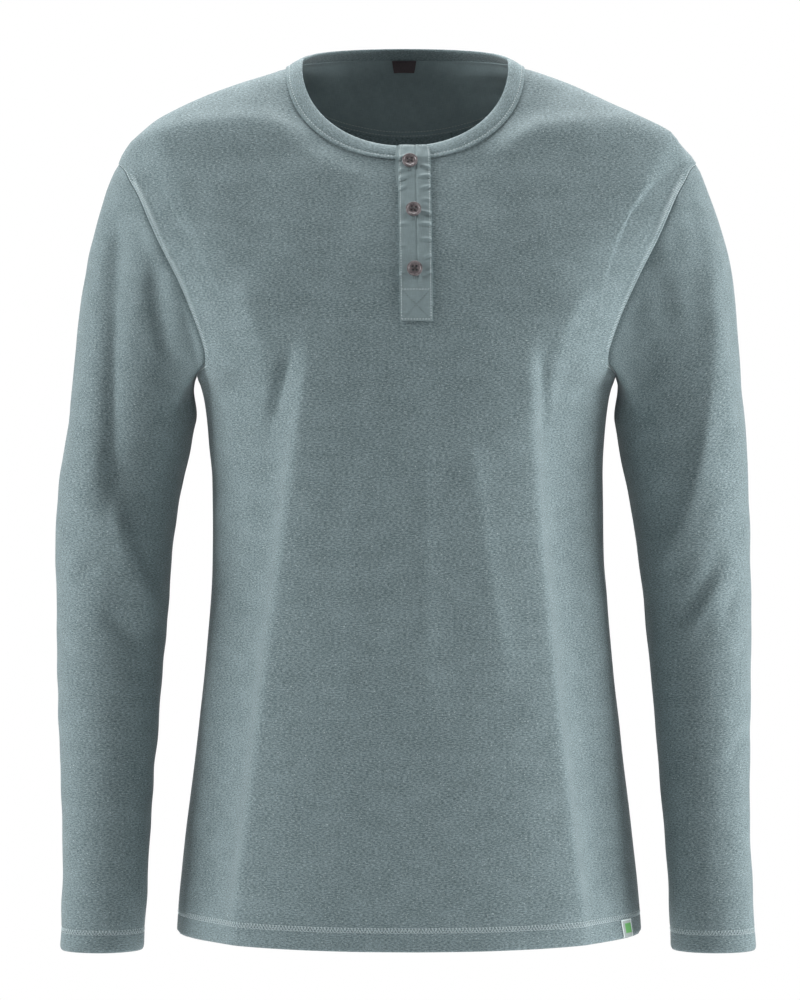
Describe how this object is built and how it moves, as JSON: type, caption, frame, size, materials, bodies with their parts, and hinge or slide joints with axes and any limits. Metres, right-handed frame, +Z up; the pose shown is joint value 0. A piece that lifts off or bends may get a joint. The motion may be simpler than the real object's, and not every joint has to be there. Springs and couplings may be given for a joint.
{
  "type": "henley shirt",
  "caption": "Long-sleeved henley shirt in heathered jersey with a round neckband and a buttoned placket, filled out as worn, with no wearer in it.",
  "frame": {"origin": "midway between the two high points of the shoulders, where the neckband's side meets the shoulder seams", "axes": "+Z up, from the hem towards the neck; the wearer faces -Y; +X is the wearer's left, which is the viewer's right from the front"},
  "size_m": [0.5574, 0.2546, 0.724],
  "materials": {
    "jersey": "heathered grey-teal single jersey, soft and matt",
    "neckband_jersey": "the same jersey, folded double",
    "placket_poplin": "smooth fine woven cotton, a little puckered",
    "button_horn": "dusty brown marbled horn look, half gloss",
    "label_satin": "dark burgundy woven satin",
    "hem_tab": "grey woven tab"
  },
  "bodies": {
    "root": {"front": "jersey", "back": "jersey", "sleeve_left": "jersey", "sleeve_right": "jersey", "neckband": "neckband_jersey", "placket_over": "placket_poplin", "placket_under": "placket_poplin", "button_1": "button_horn", "button_2": "button_horn", "button_3": "button_horn", "neck_facing": "placket_poplin", "neck_label": "label_satin", "hem_label": "hem_tab"}
  },
  "joints": []
}
